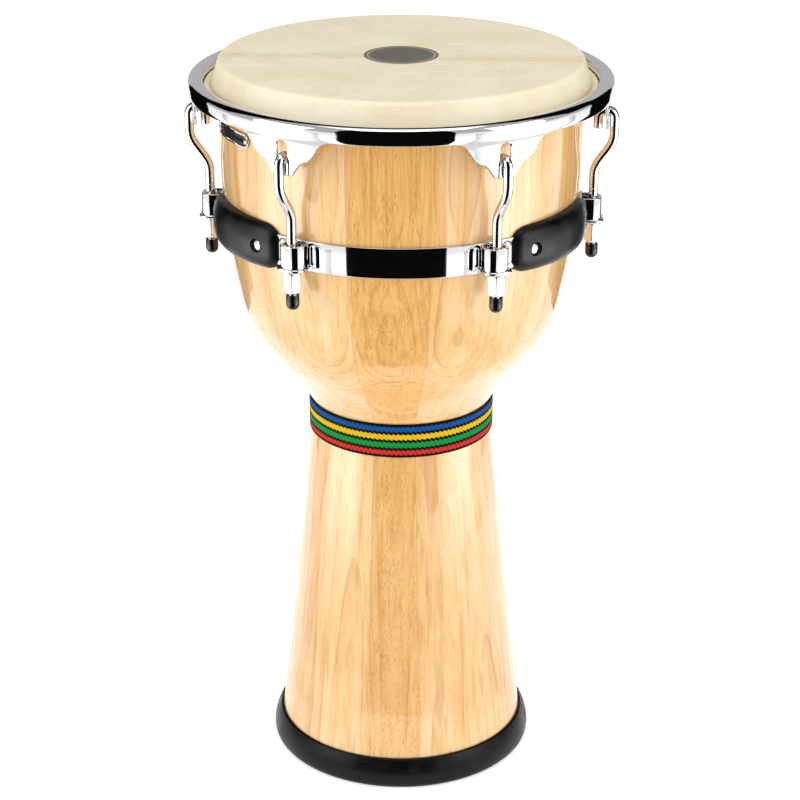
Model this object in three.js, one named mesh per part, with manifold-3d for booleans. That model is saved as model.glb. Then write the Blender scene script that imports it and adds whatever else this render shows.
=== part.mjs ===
// A djembe: a wooden goblet shell with a goatskin head, tuned by six hook bolts
// that pull a chromed tension rim down over the head.
//
// Millimetres, +Z up. The origin is the centre of the base ring's floor contact.
// Azimuth 0 is the front (-Y) and grows towards +X, so a piece drawn at the front
// is put in its place by turning it about Z.

import * as THREE from "three";
import { mergeVertices } from "three/addons/utils/BufferGeometryUtils.js";
import Module from "manifold-3d";

const wasm = await Module();
wasm.setup();

// ---------------------------------------------------------------- driving dimensions

const AROUND = 36; // flats around every large turned piece, a multiple of the lug count
const GAP = 0.35; // clearance left between touching pieces

const HEAD_TOP = 628; // playing surface above the floor
const HEAD_RADIUS = 148.5; // flat part of the playing surface
const SKIN = 1.1; // thickness of the goatskin
const COLLAR_TOP = 624.3; // above it the skin stays put, below it the collar is pulled down

const WALL = 10; // thickness of the shell's staves
const BEARING_EDGE = HEAD_TOP - SKIN - GAP;
const FOOT = 5.4; // lower end of the wood, inside the base ring

const RING_HEIGHT = 27;
const RING_BULGE = 115.5;

const WAIST_LOW = 302;
const WAIST_HIGH = 332;
const WAIST_RADIUS = 79.8;
const WEBBING = 1.2;

const BAND_LOW = 486;
const BAND_HIGH = 511;
const BAND_INNER = 149.8;
const BAND_OUTER = 151.4;

const RIM_BOTTOM = 599.2;
const RIM_TOP = 613.6;
const RIM_INNER = 162.7;
const RIM_OUTER = 176;
const TAB_INNER = 169.4;
const TAB_OUTER = 172.1;
const TAB_BOTTOM = 568.5;
const SLOT_LOW = 578;
const SLOT_HIGH = 596.5;
const SLOT_WIDTH = 10;

const HOOP_RADIUS = 162.5; // middle of the flesh hoop's wire
const HOOP_HEIGHT = 602.4;
const HOOP_WIRE = 3;

const LUG_AZIMUTHS = [-150, -90, -30, 30, 90, 150];
const LUG_STEP = 60;
const ROD = 4; // radius of the M8 hook rod
const ROD_AXIS = 160.8; // threaded end of the hook, from the drum's axis
const STEM_AXIS = 176.5; // upper end of the hook, outside the rim's tab
const TIP_AXIS = 163; // end of the hook, inside the rim's tab
const ARCH_RADIUS = (STEM_AXIS - TIP_AXIS) / 2;
const ARCH_CENTRE = 576.75;
const ROD_END = 457.7;

const BRACKET_FLOOR = 489.5;
const BRACKET_TOP = 508.5;
const BRACKET_OUTER = 168;
const BRACKET_HALF = 10.5; // half the channel's width
const BRACKET_WALL = 2.5;
const BRACKET_BACK = BAND_OUTER + GAP;
const FLOOR_THICK = 3;
const BEAD_THICK = 2.2;
const BEAD_OFFSET = 15.2; // from the channel's middle to each bead's
const BEAD_MIDDLE = 499;

const WASHER_TOP = BRACKET_FLOOR - 0.3;
const WASHER_THICK = 2.6;
const NUT_TOP = WASHER_TOP - WASHER_THICK - 0.3;
const NUT_BOTTOM = 470.4;
const NUT_FLATS = 13; // across flats, for an M8 thread
const THREAD_HOLE = ROD + 0.35;

const CAP_TOP = 468.2;
const CAP_BOTTOM = 455.2;
const CAP_RADIUS = 5.35;

const HANDLE_AZIMUTHS = { handle_left: -60, handle_right: 60 };
const HANDLE_MIDDLE = 499; // height of its centre line
const HANDLE_HALF_HEIGHT = 19.3;
const HANDLE_HALF_LENGTH = 61;
const HANDLE_CORNER = 18; // radius of its round ends
const HANDLE_BACK_AXIS = 54; // the outer face is turned about an axis this far off centre
const HANDLE_FACE = 108.2;
const HANDLE_CROWN = 12.2; // how far its face falls back towards its upper and lower edge
const BOLT_SPREAD = 15.4; // degrees from a handle's middle to each bolt
const BOLT_HEIGHT = 499.5;
const BOLT_RADIUS = 3;
const BOLT_HEAD = 4.4;
const BOLT_HEAD_HIGH = 2.2;
const BOLT_SEAT = 156.6; // underside of the bolt's head, from the drum's axis
const BOLT_END = 129;

const BADGE_AZIMUTH = -61;
const BADGE_HEIGHT = 579.7;
const BADGE_HALF_LENGTH = 29;
const BADGE_HALF_HEIGHT = 5.8;
const BADGE_BACK = 151.9;
const BADGE_FACE = 153.4;
const BADGE_PIN_SPREAD = 9.6; // degrees from the badge's middle to each pin

// Outside of the shell between the waist and the shoulder, as radius and height.
const WAIST_AND_BOWL = [
  [78.3, 302],
  [77.4, 317],
  [78.1, 333],
  [81.5, 338],
  [89.5, 350],
  [101.8, 365],
  [115, 380],
  [127.5, 399],
  [135, 419],
  [139.6, 440],
  [143.5, 460],
  [146.9, 479],
  [148.9, 497],
  [149.6, 514],
  [151.2, 555],
  [150.9, 590],
  [149.4, 614],
];

// ---------------------------------------------------------------- materials

const material = (color, roughness, metalness) =>
  new THREE.MeshStandardMaterial({ color, roughness, metalness });

const MATERIALS = {
  wood: material(0xe6b877, 0.3, 0),
  chrome: material(0xdfe2e6, 0.08, 1),
  rubber: material(0x2b2c2c, 0.55, 0),
  goatskin: material(0xf0e3c8, 0.6, 0),
  webbing: material(0x2c7a55, 0.85, 0),
  badge: material(0x1b1f26, 0.35, 0.4),
};

// ---------------------------------------------------------------- shape helpers

const radians = THREE.MathUtils.degToRad;

// A closed profile of [radius, height] pairs turned about the drum's axis.
function turned(profile, segments = AROUND) {
  const points = profile.map(([r, z]) => new THREE.Vector2(r, z));
  return new THREE.LatheGeometry(points, segments).rotateX(Math.PI / 2);
}

// The same, about an upright axis at a distance in front of the drum's axis.
function turnedAt(distance, profile, segments) {
  return turned(profile, segments).translate(0, -distance, 0);
}

const closed = (profile) => [...profile, profile[0]];

// An outline in plan, raised from one height to another.
function raised(shape, low, high) {
  const depth = high - low;
  return new THREE.ExtrudeGeometry(shape, { depth, bevelEnabled: false }).translate(0, 0, low);
}

// An outline seen from the front, X across and Y up, driven from near to far ahead of the axis.
function driven(shape, near, far) {
  const depth = far - near;
  return new THREE.ExtrudeGeometry(shape, { depth, bevelEnabled: false })
    .rotateX(Math.PI / 2)
    .translate(0, -near, 0);
}

// A round bar that points away from the drum's axis at a height.
function radialBar(radius, near, far, height, sides = 12) {
  return new THREE.CylinderGeometry(radius, radius, far - near, sides)
    .translate(0, -(near + far) / 2, 0)
    .translate(0, 0, height);
}

// An upright round bar in front of the drum's axis.
function uprightBar(radius, distance, low, high, sides = 12) {
  return new THREE.CylinderGeometry(radius, radius, high - low, sides)
    .rotateX(Math.PI / 2)
    .translate(0, -distance, (low + high) / 2);
}

function circle(radius, sides, x = 0, y = 0) {
  const shape = new THREE.Shape();
  for (let i = 0; i < sides; i++) {
    const turn = (2 * Math.PI * i) / sides;
    const px = x + radius * Math.cos(turn);
    const py = y + radius * Math.sin(turn);
    if (i === 0) shape.moveTo(px, py);
    else shape.lineTo(px, py);
  }
  return shape;
}

// A rectangle with round corners, given by its centre and half sizes.
function roundedBox(x, y, halfWide, halfHigh, corner, steps = 4) {
  const shape = new THREE.Shape();
  const centres = [
    [x + halfWide - corner, y - halfHigh + corner, -90],
    [x + halfWide - corner, y + halfHigh - corner, 0],
    [x - halfWide + corner, y + halfHigh - corner, 90],
    [x - halfWide + corner, y - halfHigh + corner, 180],
  ];
  const points = centres.flatMap(([cx, cy, from]) =>
    Array.from({ length: steps + 1 }, (_, i) => {
      const turn = radians(from + (90 * i) / steps);
      return new THREE.Vector2(cx + corner * Math.cos(turn), cy + corner * Math.sin(turn));
    }),
  );
  return shape.setFromPoints(points);
}

function solidOf(geometry) {
  const plain = geometry.clone();
  plain.deleteAttribute("normal");
  plain.deleteAttribute("uv");
  const merged = mergeVertices(plain, 1e-3);
  return new wasm.Manifold(
    new wasm.Mesh({
      numProp: 3,
      vertProperties: new Float32Array(merged.attributes.position.array),
      triVerts: new Uint32Array(merged.index.array),
    }),
  );
}

function geometryOf(solid) {
  const mesh = solid.getMesh();
  const geometry = new THREE.BufferGeometry();
  geometry.setAttribute("position", new THREE.BufferAttribute(mesh.vertProperties, 3));
  geometry.setIndex(new THREE.BufferAttribute(mesh.triVerts, 1));
  const flat = geometry.toNonIndexed();
  flat.computeVertexNormals();
  return flat;
}

const joined = (first, ...rest) =>
  geometryOf(rest.reduce((solid, next) => solid.add(solidOf(next)), solidOf(first)));

const cut = (body, ...tools) =>
  geometryOf(tools.reduce((solid, tool) => solid.subtract(solidOf(tool)), solidOf(body)));

const common = (first, ...rest) =>
  geometryOf(rest.reduce((solid, next) => solid.intersect(solidOf(next)), solidOf(first)));

const turnedTo = (geometry, azimuth) => geometry.clone().rotateZ(radians(azimuth));

// ---------------------------------------------------------------- wood, webbing and base

// The leg flares gently towards the floor.
const legRadius = (z) => 110.5 - 0.1164 * z + 3.39e-5 * z * z;

// A polyline of [radius, height] moved sideways by a distance, to its left or right.
function offset(profile, distance) {
  return profile.map(([r, z], i) => {
    const [r0, z0] = profile[Math.max(i - 1, 0)];
    const [r1, z1] = profile[Math.min(i + 1, profile.length - 1)];
    const length = Math.hypot(r1 - r0, z1 - z0);
    return [r + (distance * (z0 - z1)) / length, z + (distance * (r1 - r0)) / length];
  });
}

function boltHoles(radius, near, far) {
  return Object.values(HANDLE_AZIMUTHS).flatMap((middle) =>
    [-BOLT_SPREAD, BOLT_SPREAD].map((spread) =>
      turnedTo(radialBar(radius, near, far, BOLT_HEIGHT), middle + spread),
    ),
  );
}

function shell() {
  const leg = [FOOT, 100, 200, 285].map((z) => [legRadius(z), z]);
  const outside = [...leg, ...WAIST_AND_BOWL];
  const inside = offset(outside, WALL).filter((_, i) => i > 0 && i % 2 === 0);
  const [innerTop] = inside[inside.length - 1];
  const bearingEdge = [
    [148, 622],
    [144.5, BEARING_EDGE],
    [141.5, BEARING_EDGE],
    [innerTop, 622],
  ];
  const profile = [
    ...outside,
    ...bearingEdge,
    ...inside.reverse(),
    [legRadius(FOOT) - WALL, FOOT],
  ];
  const pins = [-BADGE_PIN_SPREAD, BADGE_PIN_SPREAD].map((spread) =>
    turnedTo(radialBar(1.3, 140, 160, BADGE_HEIGHT, 8), BADGE_AZIMUTH + spread),
  );
  return cut(turned(closed(profile)), ...boltHoles(BOLT_RADIUS + GAP, 120, 160), ...pins);
}

function baseRing() {
  const outside = [
    [92, 0],
    [110, 0],
    [113.6, 1.6],
    [RING_BULGE, 6],
    [115.1, 13],
    [112.6, 20],
    [109.8, 25],
    [legRadius(RING_HEIGHT) + 0.9, RING_HEIGHT],
  ];
  const seat = FOOT - GAP;
  const inside = [
    [legRadius(RING_HEIGHT) + GAP, RING_HEIGHT],
    [legRadius(FOOT) + GAP, seat],
    [92, seat],
  ];
  return turned(closed([...outside, ...inside]));
}

function waistBand() {
  const inner = WAIST_RADIUS - WEBBING;
  return turned(
    closed([
      [inner, WAIST_LOW],
      [WAIST_RADIUS, WAIST_LOW],
      [WAIST_RADIUS, WAIST_HIGH],
      [inner, WAIST_HIGH],
    ]),
  );
}

// ---------------------------------------------------------------- lug band, brackets and nuts

function lugBand() {
  const strap = turned(
    closed([
      [BAND_INNER, BAND_LOW],
      [BAND_OUTER, BAND_LOW],
      [BAND_OUTER, BAND_HIGH],
      [BAND_INNER, BAND_HIGH],
    ]),
  );
  return cut(strap, ...boltHoles(BOLT_RADIUS + GAP, 145, 155));
}

// One of the two rounded feet that hold a bracket to the band, made larger for a pocket.
function bracketBead(side, grown) {
  const outline = roundedBox(side * BEAD_OFFSET, BEAD_MIDDLE, 5 + grown, 10.5 + grown, 4, 3);
  return driven(outline, BRACKET_BACK - 3 * grown, BRACKET_BACK + BEAD_THICK + grown);
}

// A channel open at its top, with a dished floor for the hook and a bead on the band at each side.
function lugBracket() {
  const middle = -(BRACKET_BACK + BRACKET_OUTER) / 2;
  const halfDeep = (BRACKET_OUTER - BRACKET_BACK) / 2;
  const outer = roundedBox(0, middle + 4, BRACKET_HALF, halfDeep + 4, 8.5);
  const hollowHalf = BRACKET_HALF - BRACKET_WALL;
  const hollow = roundedBox(0, middle + 10, hollowHalf, halfDeep + 10 - BRACKET_WALL, 6);
  const behind = roundedBox(0, -BRACKET_BACK + 20, 40, 20, 1, 1);
  const channel = cut(
    raised(outer, BRACKET_FLOOR + 1, BRACKET_TOP),
    raised(hollow, BRACKET_FLOOR, BRACKET_TOP + 1),
  );
  const plate = roundedBox(0, -159.7, 12, 10.5, 8);
  const lip = raised(plate, BRACKET_FLOOR, BRACKET_FLOOR + FLOOR_THICK);
  const beads = [-1, 1].map((side) => bracketBead(side, 0));
  const hole = uprightBar(ROD + 0.6, ROD_AXIS, BRACKET_FLOOR - 1, BRACKET_FLOOR + 5);
  return cut(joined(channel, lip, ...beads), raised(behind, 470, 530), hole);
}

// A thick washer whose side slopes in towards the nut.
function washer() {
  const low = WASHER_TOP - WASHER_THICK;
  const bore = ROD + 0.5;
  return turnedAt(
    ROD_AXIS,
    closed([
      [bore, low],
      [7.4, low],
      [9.3, WASHER_TOP - 0.8],
      [9.3, WASHER_TOP],
      [bore, WASHER_TOP],
    ]),
    16,
  );
}

// A tall hexagon nut whose lower corners are turned off.
function tuningNut() {
  const corner = NUT_FLATS / Math.sqrt(3);
  const hexagon = raised(circle(corner, 6), NUT_BOTTOM, NUT_TOP);
  const turnedOff = turned(
    [
      [0, NUT_BOTTOM],
      [corner - 1.3, NUT_BOTTOM],
      [corner + 0.2, NUT_BOTTOM + 2.5],
      [corner + 0.2, NUT_TOP],
      [0, NUT_TOP],
    ],
    12,
  );
  const thread = uprightBar(THREAD_HOLE, 0, NUT_BOTTOM - 1, NUT_TOP + 1);
  return cut(common(hexagon, turnedOff), thread).translate(0, -ROD_AXIS, 0);
}

// ---------------------------------------------------------------- tuning hooks and their caps

// A path made of curves, each with its own number of steps.
class SteppedPath extends THREE.Curve {
  constructor(pieces) {
    super();
    this.pieces = pieces;
    this.steps = pieces.reduce((sum, [, steps]) => sum + steps, 0);
  }

  at(t) {
    let left = t * this.steps;
    for (const [curve, steps] of this.pieces) {
      if (left <= steps + 1e-9) return [curve, Math.min(left / steps, 1)];
      left -= steps;
    }
    return [this.pieces[this.pieces.length - 1][0], 1];
  }

  getPoint(t) {
    const [curve, u] = this.at(t);
    return curve.getPoint(u);
  }

  getTangent(t) {
    const [curve, u] = this.at(t);
    return curve.getTangent(u);
  }

  getPointAt(t) {
    return this.getPoint(t);
  }

  getTangentAt(t) {
    return this.getTangent(t);
  }
}

// Half a circle over the tab's slot, from the stem to the tip.
class ArchCurve extends THREE.Curve {
  getPoint(t) {
    const turn = Math.PI * t;
    const distance = (STEM_AXIS + TIP_AXIS) / 2 + ARCH_RADIUS * Math.cos(turn);
    return new THREE.Vector3(0, -distance, ARCH_CENTRE + ARCH_RADIUS * Math.sin(turn));
  }
}

function hookPath() {
  const point = (distance, z) => new THREE.Vector3(0, -distance, z);
  const bendLow = 528;
  const bendHigh = 563;
  const ease = 14;
  return new SteppedPath([
    [new THREE.LineCurve3(point(ROD_AXIS, ROD_END), point(ROD_AXIS, bendLow)), 1],
    [
      new THREE.CubicBezierCurve3(
        point(ROD_AXIS, bendLow),
        point(ROD_AXIS, bendLow + ease),
        point(STEM_AXIS, bendHigh - ease),
        point(STEM_AXIS, bendHigh),
      ),
      6,
    ],
    [new THREE.LineCurve3(point(STEM_AXIS, bendHigh), point(STEM_AXIS, ARCH_CENTRE)), 1],
    [new ArchCurve(), 6],
    [new THREE.LineCurve3(point(TIP_AXIS, ARCH_CENTRE), point(TIP_AXIS, 568)), 1],
  ]);
}

function tuningHook() {
  const path = hookPath();
  return new THREE.ExtrudeGeometry(circle(ROD, 8), { steps: path.steps, extrudePath: path });
}

// A push-on rubber cap, open at its top, over the rod's lower end.
function threadCap() {
  const bore = CAP_RADIUS - 1;
  const bottom = ROD_END - GAP;
  const profile = [
    [0, CAP_BOTTOM],
    [2.6, CAP_BOTTOM + 0.4],
    [4.7, CAP_BOTTOM + 2.2],
    [CAP_RADIUS, CAP_BOTTOM + 4.6],
    [CAP_RADIUS, CAP_TOP],
    [bore, CAP_TOP],
    [bore, bottom],
    [0, bottom],
  ];
  return turnedAt(ROD_AXIS, profile, 10);
}

// ---------------------------------------------------------------- rim, flesh hoop and skin

// Half of a tab's scalloped edge, from the rim down to its tip.
const TAB_EDGE = [
  [46, 602],
  [40, 598.4],
  [34, 597],
  [30.5, 592],
  [27.5, 586],
  [23.5, 582.6],
  [18, 581],
  [14, 576],
  [10.8, 571],
  [8.4, TAB_BOTTOM],
];

function tabOutline() {
  const right = TAB_EDGE.map(([x, z]) => new THREE.Vector2(x, z));
  const left = TAB_EDGE.map(([x, z]) => new THREE.Vector2(-x, z)).reverse();
  return new THREE.Shape().setFromPoints([...left, ...right].reverse());
}

function tensionRim() {
  const section = [
    [RIM_INNER, HOOP_HEIGHT + HOOP_WIRE + GAP],
    [165.7, HOOP_HEIGHT + HOOP_WIRE + GAP],
    [165.7, 609.4],
    [167.8, 610.7],
    [170.8, 610.2],
    [172.6, 607.6],
    [172.6, 604],
    [170.4, RIM_BOTTOM],
    [174.4, RIM_BOTTOM],
    [175.7, 601],
    [RIM_OUTER, 605.5],
    [175.7, 609.8],
    [173.6, 612.6],
    [169.5, RIM_TOP],
    [165, 613.2],
    [RIM_INNER, 610.8],
  ];
  const apron = turned(
    closed([
      [TAB_INNER, 560],
      [TAB_OUTER, 560],
      [TAB_OUTER, 603],
      [TAB_INNER, 603],
    ]),
  );
  const slotMiddle = (SLOT_LOW + SLOT_HIGH) / 2;
  const slotHalf = (SLOT_HIGH - SLOT_LOW) / 2;
  const slot = driven(roundedBox(0, slotMiddle, SLOT_WIDTH / 2, slotHalf, 4.9, 3), 150, 190);
  const tab = cut(common(apron, driven(tabOutline(), 100, 190)), slot);
  return joined(turned(closed(section)), ...LUG_AZIMUTHS.map((azimuth) => turnedTo(tab, azimuth)));
}

function fleshHoop() {
  const sides = 8;
  const wire = Array.from({ length: sides }, (_, i) => {
    const turn = (2 * Math.PI * (i + 0.5)) / sides;
    return [HOOP_RADIUS + HOOP_WIRE * Math.cos(turn), HOOP_HEIGHT + HOOP_WIRE * Math.sin(turn)];
  });
  return turned(closed(wire));
}

// The playing head: flat, and turned down over the bearing edge.
function headSkin() {
  const lip = COLLAR_TOP + GAP;
  const inside = [
    [0, HEAD_TOP - SKIN],
    [HEAD_RADIUS - 0.6, HEAD_TOP - SKIN],
    [150.05, lip],
  ];
  const outside = [
    [151.35, lip],
    [150.9, 626],
    [HEAD_RADIUS, HEAD_TOP],
    [0, HEAD_TOP],
  ];
  return turned([...inside, ...outside]);
}

// The rest of the skin: down the collar and tucked under the flesh hoop.
function skinCollar() {
  const outside = [
    [151.45, COLLAR_TOP],
    [156, 611],
    [158.8, 603.6],
    [159.2, 600.2],
    [161.2, 599.05],
    [164, 599.05],
    [165.9, 600.3],
    [166, 604.6],
  ];
  const inside = [
    [167.1, 604.6],
    [167.1, 599.4],
    [164.8, 597.9],
    [160, 597.9],
    [158, 599.4],
    [157.7, 603.3],
    [154.9, 611],
    [150.15, COLLAR_TOP],
  ];
  return turned(closed([...outside, ...inside].reverse()));
}

// ---------------------------------------------------------------- handles

// A moulded rubber bar with a bowed, crowned face, hollowed at the back for the band and shell.
function handle() {
  const steps = 10;
  const low = HANDLE_MIDDLE - HANDLE_HALF_HEIGHT;
  const high = HANDLE_MIDDLE + HANDLE_HALF_HEIGHT;
  const face = Array.from({ length: steps + 1 }, (_, i) => {
    const turn = Math.PI * (i / steps - 0.5);
    const across = HANDLE_HALF_HEIGHT * Math.sin(turn);
    return [HANDLE_FACE - HANDLE_CROWN * (1 - Math.cos(turn)), HANDLE_MIDDLE + across];
  });
  const crowned = turnedAt(HANDLE_BACK_AXIS, [[0, low], ...face, [0, high]], AROUND);
  const outline = driven(
    roundedBox(0, HANDLE_MIDDLE, HANDLE_HALF_LENGTH, HANDLE_HALF_HEIGHT, HANDLE_CORNER, 5),
    100,
    180,
  );
  const back = turned([
    [0, 470],
    [145.9, 470],
    [147.4, 480],
    [148.4, BAND_LOW - GAP],
    [BAND_OUTER + GAP, BAND_LOW - GAP],
    [BAND_OUTER + GAP, BAND_HIGH + GAP],
    [150, BAND_HIGH + GAP],
    [150.5, 525],
    [0, 525],
  ]);
  const holes = [-BOLT_SPREAD, BOLT_SPREAD].flatMap((spread) => [
    turnedTo(radialBar(BOLT_RADIUS + GAP, 140, 175, BOLT_HEIGHT), spread),
    turnedTo(radialBar(BOLT_HEAD + 0.7, BOLT_SEAT - GAP, 180, BOLT_HEIGHT, 16), spread),
  ]);
  const pockets = [-1, 1].map((side) => turnedTo(bracketBead(-side, 0.6), side * LUG_STEP / 2));
  return cut(common(crowned, outline), back, ...holes, ...pockets);
}

function handleBolt() {
  const shank = radialBar(BOLT_RADIUS, BOLT_END, BOLT_SEAT + 0.5, BOLT_HEIGHT);
  const head = new THREE.LatheGeometry(
    [
      [0, 0],
      [BOLT_HEAD, 0],
      [BOLT_HEAD, BOLT_HEAD_HIGH - 1.2],
      [BOLT_HEAD - 1.2, BOLT_HEAD_HIGH - 0.3],
      [0, BOLT_HEAD_HIGH],
    ].map(([r, h]) => new THREE.Vector2(r, h)),
    16,
  )
    .rotateX(Math.PI)
    .translate(0, -BOLT_SEAT, BOLT_HEIGHT);
  return joined(shank, head);
}

function handleNut() {
  const shape = circle(10 / Math.sqrt(3), 6, 0, BOLT_HEIGHT);
  shape.holes.push(circle(BOLT_RADIUS + GAP, 12, 0, BOLT_HEIGHT));
  return driven(shape, 131.5, 136.5);
}

// ---------------------------------------------------------------- badge

function badgePlate() {
  const ring = turned(
    closed([
      [BADGE_BACK, 560],
      [BADGE_FACE, 560],
      [BADGE_FACE, 590],
      [BADGE_BACK, 590],
    ]),
  );
  const outline = driven(
    roundedBox(0, BADGE_HEIGHT, BADGE_HALF_LENGTH, BADGE_HALF_HEIGHT, 5.5, 4),
    100,
    180,
  );
  const holes = [-BADGE_PIN_SPREAD, BADGE_PIN_SPREAD].map((spread) =>
    turnedTo(radialBar(1.3, 140, 160, BADGE_HEIGHT, 8), spread),
  );
  return turnedTo(cut(common(ring, outline), ...holes), BADGE_AZIMUTH);
}

function badgePin() {
  const shank = radialBar(1, 143, BADGE_FACE + 0.6, BADGE_HEIGHT, 8);
  const head = radialBar(1.9, BADGE_FACE + 0.3, BADGE_FACE + 1.1, BADGE_HEIGHT, 10);
  return joined(shank, head);
}

// ---------------------------------------------------------------- assembly

const djembe = new THREE.Group();

function add(name, geometry, slot, azimuth = 0) {
  const mesh = new THREE.Mesh(geometry, MATERIALS[slot]);
  mesh.name = name;
  mesh.rotation.z = radians(azimuth);
  djembe.add(mesh);
}

add("shell", shell(), "wood");
add("base_ring", baseRing(), "rubber");
add("waist_band", waistBand(), "webbing");
add("lug_band", lugBand(), "chrome");
add("tension_rim", tensionRim(), "chrome");
add("flesh_hoop", fleshHoop(), "chrome");
add("head_skin", headSkin(), "goatskin");
add("skin_collar", skinCollar(), "goatskin");

const LUG_PIECES = {
  lug_bracket: [lugBracket(), "chrome"],
  lug_washer: [washer(), "chrome"],
  tuning_nut: [tuningNut(), "chrome"],
  tuning_hook: [tuningHook(), "chrome"],
  thread_cap: [threadCap(), "rubber"],
};
for (const [name, [geometry, slot]] of Object.entries(LUG_PIECES)) {
  LUG_AZIMUTHS.forEach((azimuth, i) => add(`${name}_${i + 1}`, geometry, slot, azimuth));
}

const handleGeometry = handle();
let boltNumber = 0;
for (const [name, azimuth] of Object.entries(HANDLE_AZIMUTHS)) {
  add(name, handleGeometry, "rubber", azimuth);
  for (const spread of [-BOLT_SPREAD, BOLT_SPREAD]) {
    boltNumber += 1;
    add(`handle_bolt_${boltNumber}`, handleBolt(), "chrome", azimuth + spread);
    add(`handle_nut_${boltNumber}`, handleNut(), "chrome", azimuth + spread);
  }
}

add("badge_plate", badgePlate(), "badge");
add("badge_pin_1", badgePin(), "chrome", BADGE_AZIMUTH - BADGE_PIN_SPREAD);
add("badge_pin_2", badgePin(), "chrome", BADGE_AZIMUTH + BADGE_PIN_SPREAD);

export default djembe;
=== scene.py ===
"""The looks of a djembe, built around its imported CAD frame.

Shapes are drawn in millimetres and become metres when their mesh is made. +Z is up and the
front is -Y. An azimuth is 0 at the front and grows towards +X, in degrees.
"""

from math import atan2, cos, exp, hypot, pi, radians, sin, sqrt, tan

import bmesh
import bpy
import numpy as np
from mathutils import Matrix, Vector


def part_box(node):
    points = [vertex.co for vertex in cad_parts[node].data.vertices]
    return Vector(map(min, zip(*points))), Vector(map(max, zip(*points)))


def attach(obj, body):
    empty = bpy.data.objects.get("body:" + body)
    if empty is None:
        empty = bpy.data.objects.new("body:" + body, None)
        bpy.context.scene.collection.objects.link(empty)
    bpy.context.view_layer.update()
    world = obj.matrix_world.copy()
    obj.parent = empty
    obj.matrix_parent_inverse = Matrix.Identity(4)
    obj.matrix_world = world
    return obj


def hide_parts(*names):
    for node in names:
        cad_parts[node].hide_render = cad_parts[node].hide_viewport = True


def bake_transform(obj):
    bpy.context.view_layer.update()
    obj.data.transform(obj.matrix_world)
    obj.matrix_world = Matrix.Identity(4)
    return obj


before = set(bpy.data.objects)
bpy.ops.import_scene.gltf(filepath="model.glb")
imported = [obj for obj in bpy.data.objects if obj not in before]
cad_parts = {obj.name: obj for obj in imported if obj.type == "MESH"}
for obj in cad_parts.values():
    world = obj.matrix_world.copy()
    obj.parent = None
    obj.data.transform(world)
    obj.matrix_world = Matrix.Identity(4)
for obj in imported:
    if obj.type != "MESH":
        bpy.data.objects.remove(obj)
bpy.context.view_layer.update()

MM = 0.001


def heights(node):
    """The lowest and the highest point of a CAD node."""
    lowest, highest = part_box(node)
    return lowest[2] / MM, highest[2] / MM


# ---- sizes

WELD = 2e-6  # points closer than this become one, in metres
FINE = 240  # facets around the large turned pieces
LUG_AZIMUTHS = [-150, -90, -30, 30, 90, 150]

FOOT, BEARING_EDGE = heights("shell")
RING_TOP = heights("base_ring")[1]
HEAD_TOP = heights("head_skin")[1]
WAIST_LOW, WAIST_HIGH = heights("waist_band")
WAIST_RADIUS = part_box("waist_band")[1][1] / MM
BAND_LOW, BAND_HIGH = heights("lug_band")
BAND_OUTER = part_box("lug_band")[1][1] / MM
TAB_BOTTOM, RIM_TOP = heights("tension_rim")
RIM_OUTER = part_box("tension_rim")[1][1] / MM - 0.05
ROD_END = heights("tuning_hook_1")[0]
CAP_BOTTOM, CAP_TOP = heights("thread_cap_1")
NUT_BOTTOM, NUT_TOP = heights("tuning_nut_1")
WASHER_BOTTOM, WASHER_TOP = heights("lug_washer_1")
BRACKET_BOTTOM, BRACKET_TOP = heights("lug_bracket_1")
HANDLE_LOW, HANDLE_HIGH = heights("handle_left")
BADGE_LOW, BADGE_HIGH = heights("badge_plate")

WALL = 10  # thickness of the shell
RIM_BOTTOM = 599.2
RIM_INNER = 162.7
TAB_BULGE = 171.9  # middle radius of a tab's outer face
SLOT_LOW = 578
SLOT_HIGH = 596.5
SLOT_HALF = 5
HOOP_RADIUS = 162.5
HOOP_HEIGHT = 602.4
HOOP_WIRE = 2.95

ROD = 3.9  # radius of a hook's rod
ROD_AXIS = 160.8  # distance of the threaded end from the drum's axis
STEM_AXIS = 176.5  # and of the stem above the bend
TIP_AXIS = 163  # and of the tip in its slot
ARCH_CENTRE = 576.75
TIP_END = 568
THREAD_PITCH = 1.25
THREAD_DEPTH = 0.55
THREAD_TOP = 507.5
BEND_LOW = 528
GROOVE = 516

BRACKET_BACK = BAND_OUTER + 0.35
BRACKET_OUTER = 168
BRACKET_HALF = 10.5  # half of the channel's width
BRACKET_CORNER = 8.5  # radius of its outer corners
BRACKET_HOLLOW = 8  # half of the hollow's width
BRACKET_FLOOR = 3
BEAD_OFFSET = 15.2
BEAD_MIDDLE = 499

HANDLE_AZIMUTHS = {"handle_left": -60, "handle_right": 60}
HANDLE_MIDDLE = (HANDLE_LOW + HANDLE_HIGH) / 2
HANDLE_HALF_HEIGHT = (HANDLE_HIGH - HANDLE_LOW) / 2
HANDLE_HALF_LENGTH = 61
HANDLE_BACK_AXIS = 54
HANDLE_FACE = 108.2
HANDLE_CROWN = 11
HANDLE_FULLNESS = 2.4  # power of the ellipse that its crown follows
HANDLE_EDGE = 8  # rounding around the end of its face
BOLT_SPREAD = 15.4
BOLT_HEIGHT = 499.5
BOLT_HEAD = 4.4
BOLT_HEAD_HIGH = 2.2
BOLT_SEAT = 156.6
BOLT_END = 129

BADGE_AZIMUTH = -61
BADGE_MIDDLE = (BADGE_LOW + BADGE_HIGH) / 2
BADGE_HALF_LENGTH = 29
BADGE_HALF_HEIGHT = (BADGE_HIGH - BADGE_LOW) / 2
BADGE_BACK = 151.9
BADGE_FACE = 153.4
BADGE_PIN_SPREAD = 9.6
ENAMEL_DEPTH = 0.55

STAVES = 14
STAVE = 2 * pi / STAVES
SEAM = radians(-14.5)  # azimuth of the seam left of the front stave


# ---- outlines

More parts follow.
